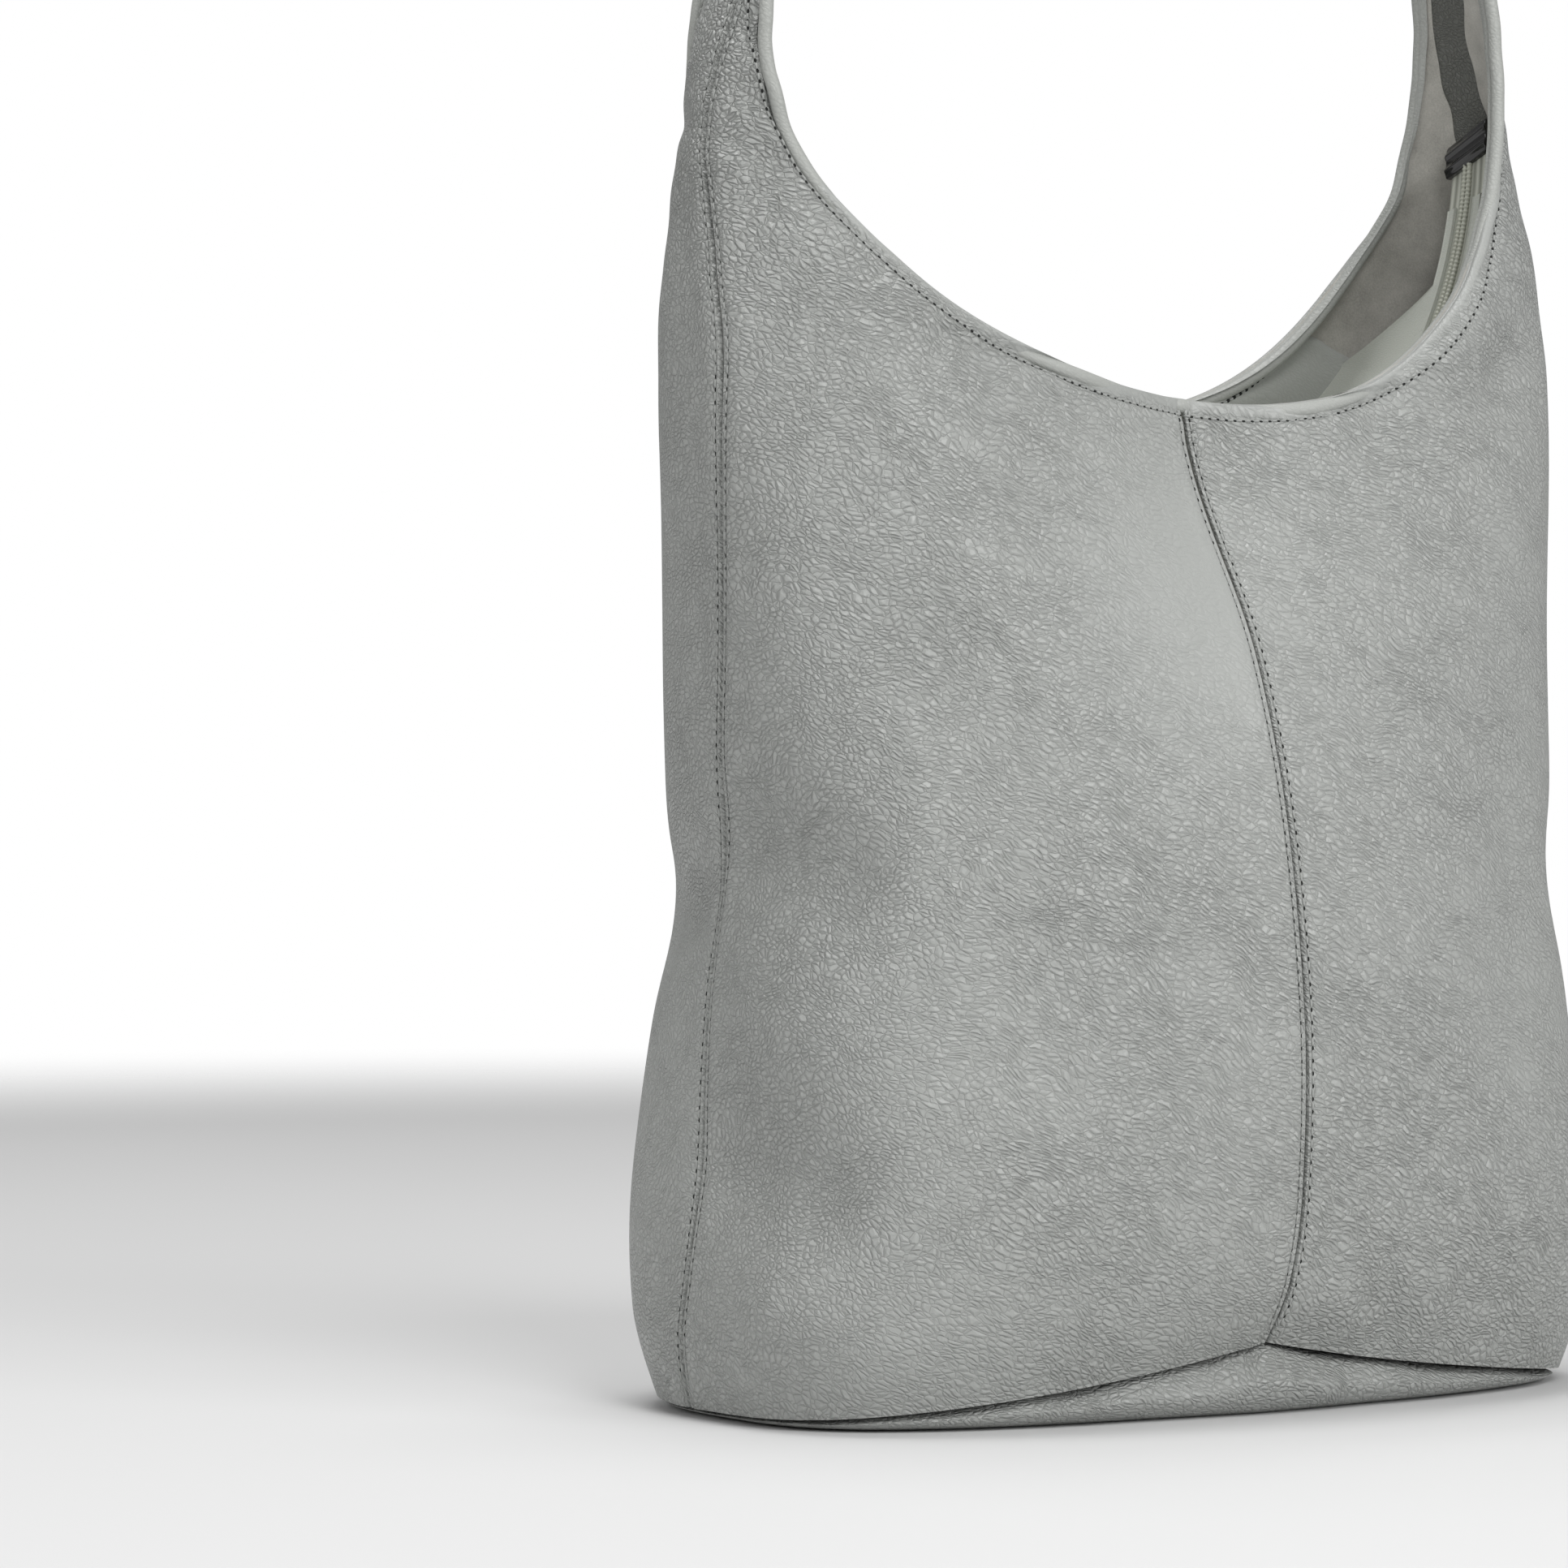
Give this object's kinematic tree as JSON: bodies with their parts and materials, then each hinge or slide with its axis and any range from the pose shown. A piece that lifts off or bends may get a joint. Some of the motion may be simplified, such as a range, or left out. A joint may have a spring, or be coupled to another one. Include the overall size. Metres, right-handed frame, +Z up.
{
  "type": "hobo bag",
  "caption": "Slouchy leather shoulder bag with a deep curved opening, wings that run up into one strap, a centre seam, a pillow base and a recessed zip.",
  "frame": {"origin": "bottom centre of the bag, on the floor it stands on", "axes": "+Z up through the strap, +X towards the bag's right side seam seen from the front, the front faces -Y"},
  "size_m": [0.3338, 0.2072, 0.606],
  "materials": {
    "panel_leather": "pebbled full-grain leather, soft satin",
    "strap_leather": "pebbled full-grain leather, soft satin",
    "base_leather": "pebbled full-grain leather, soft satin",
    "facing_leather": "smooth side of the outer leather, satin",
    "side_strip_leather": "dark pebbled leather, satin",
    "zip_strip_leather": "thin smooth leather, matt",
    "suede_lining": "grey-brown suede cloth, matt",
    "zip_tape": "woven polyester tape",
    "zip_coil": "moulded nylon coil",
    "zip_end_clip": "glossy black",
    "zip_metal": "plated zinc, satin",
    "base_board": "stiffening board, hidden"
  },
  "bodies": {
    "bag": {"front_left_panel": "panel_leather", "front_right_panel": "panel_leather", "back_left_panel": "panel_leather", "back_right_panel": "panel_leather", "bottom_panel": "base_leather", "base_board": "base_board", "front_facing": "facing_leather", "back_facing": "facing_leather", "front_lining": "suede_lining", "back_lining": "suede_lining", "bottom_lining": "suede_lining", "left_side_strip": "side_strip_leather", "right_side_strip": "side_strip_leather", "left_strap_flex": "panel_leather", "right_strap_flex": "panel_leather", "front_zip_strip": "zip_strip_leather", "back_zip_strip": "zip_strip_leather", "front_zip_tape": "zip_tape", "back_zip_tape": "zip_tape", "front_zip_coil": "zip_coil", "back_zip_coil": "zip_coil", "left_zip_end_clip": "zip_end_clip", "right_zip_end_clip": "zip_end_clip"},
    "strap": {"strap_front": "strap_leather", "strap_back": "strap_leather", "strap_lining": "suede_lining"},
    "zip_slider": {"zip_slider": "zip_metal"},
    "zip_pull": {"zip_pull": "zip_metal"}
  },
  "joints": [
    {"name": "strap_flop", "type": "hinge", "parent": "bag", "child": "strap", "pos_m": [0, 0, 0.472], "axis": [1, 0, 0], "range_deg": [-45, 45], "deforming": ["left_strap_flex", "right_strap_flex"]},
    {"name": "zip_travel", "type": "hinge", "parent": "bag", "child": "zip_slider", "pos_m": [0, 0, 0.413], "axis": [0, -1, 0], "range_deg": [0, 154], "deforming": ["front_zip_strip", "back_zip_strip", "front_zip_tape", "back_zip_tape", "front_zip_coil", "back_zip_coil"]},
    {"name": "zip_pull_swing", "type": "hinge", "parent": "zip_slider", "child": "zip_pull", "pos_m": [-0.13729, 0, 0.3813], "axis": [0, -1, 0], "range_deg": [0, 160]}
  ]
}
